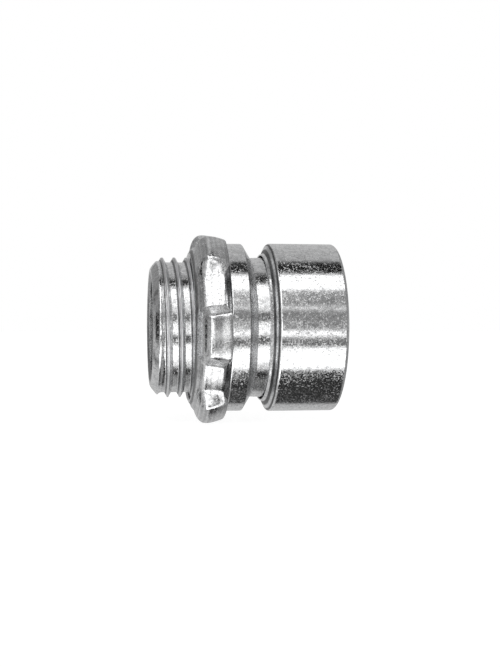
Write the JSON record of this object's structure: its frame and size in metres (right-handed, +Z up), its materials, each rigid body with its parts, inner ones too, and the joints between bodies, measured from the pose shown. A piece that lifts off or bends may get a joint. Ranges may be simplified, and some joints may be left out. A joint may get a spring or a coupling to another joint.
{
  "type": "conduit compression fitting",
  "caption": "Zinc-plated steel compression connector for thin-wall conduit: threaded box end with lugged locknut, round collar and round gland nut over a split gland ring.",
  "frame": {"origin": "on the fitting's axis, half way along its length", "axes": "+X along the axis, from the threaded box end towards the gland nut where the conduit enters; +Z up"},
  "size_m": [0.0274, 0.0288, 0.0284],
  "materials": {
    "body_zinc": "bright zinc plating on turned steel",
    "locknut_zinc": "bright zinc plating on stamped steel, uneven",
    "nut_zinc": "bright zinc plating on turned steel",
    "ring_zinc": "dull zinc plating"
  },
  "bodies": {
    "fitting_body": {"connector_body": "body_zinc"},
    "locknut": {"locknut": "locknut_zinc"},
    "gland_ring": {"gland_ring": "ring_zinc"},
    "gland_nut": {"gland_nut": "nut_zinc"}
  },
  "joints": [
    {"name": "locknut_travel", "type": "slide", "parent": "fitting_body", "child": "locknut", "axis": [-1, 0, 0], "range_m": [-0.0002, 0.01089]},
    {"name": "gland_ring_travel", "type": "slide", "parent": "fitting_body", "child": "gland_ring", "axis": [1, 0, 0], "range_m": [-0.0013, 0.0064]},
    {"name": "gland_nut_turn", "type": "hinge", "parent": "gland_ring", "child": "gland_nut", "pos_m": [0.008, 0, 0], "axis": [1, 0, 0], "range_deg": [-360, 1800]}
  ],
  "couplings": [
    {"joint": "gland_ring_travel", "follows": "gland_nut_turn", "m_per_rad": 0.00020213}
  ]
}
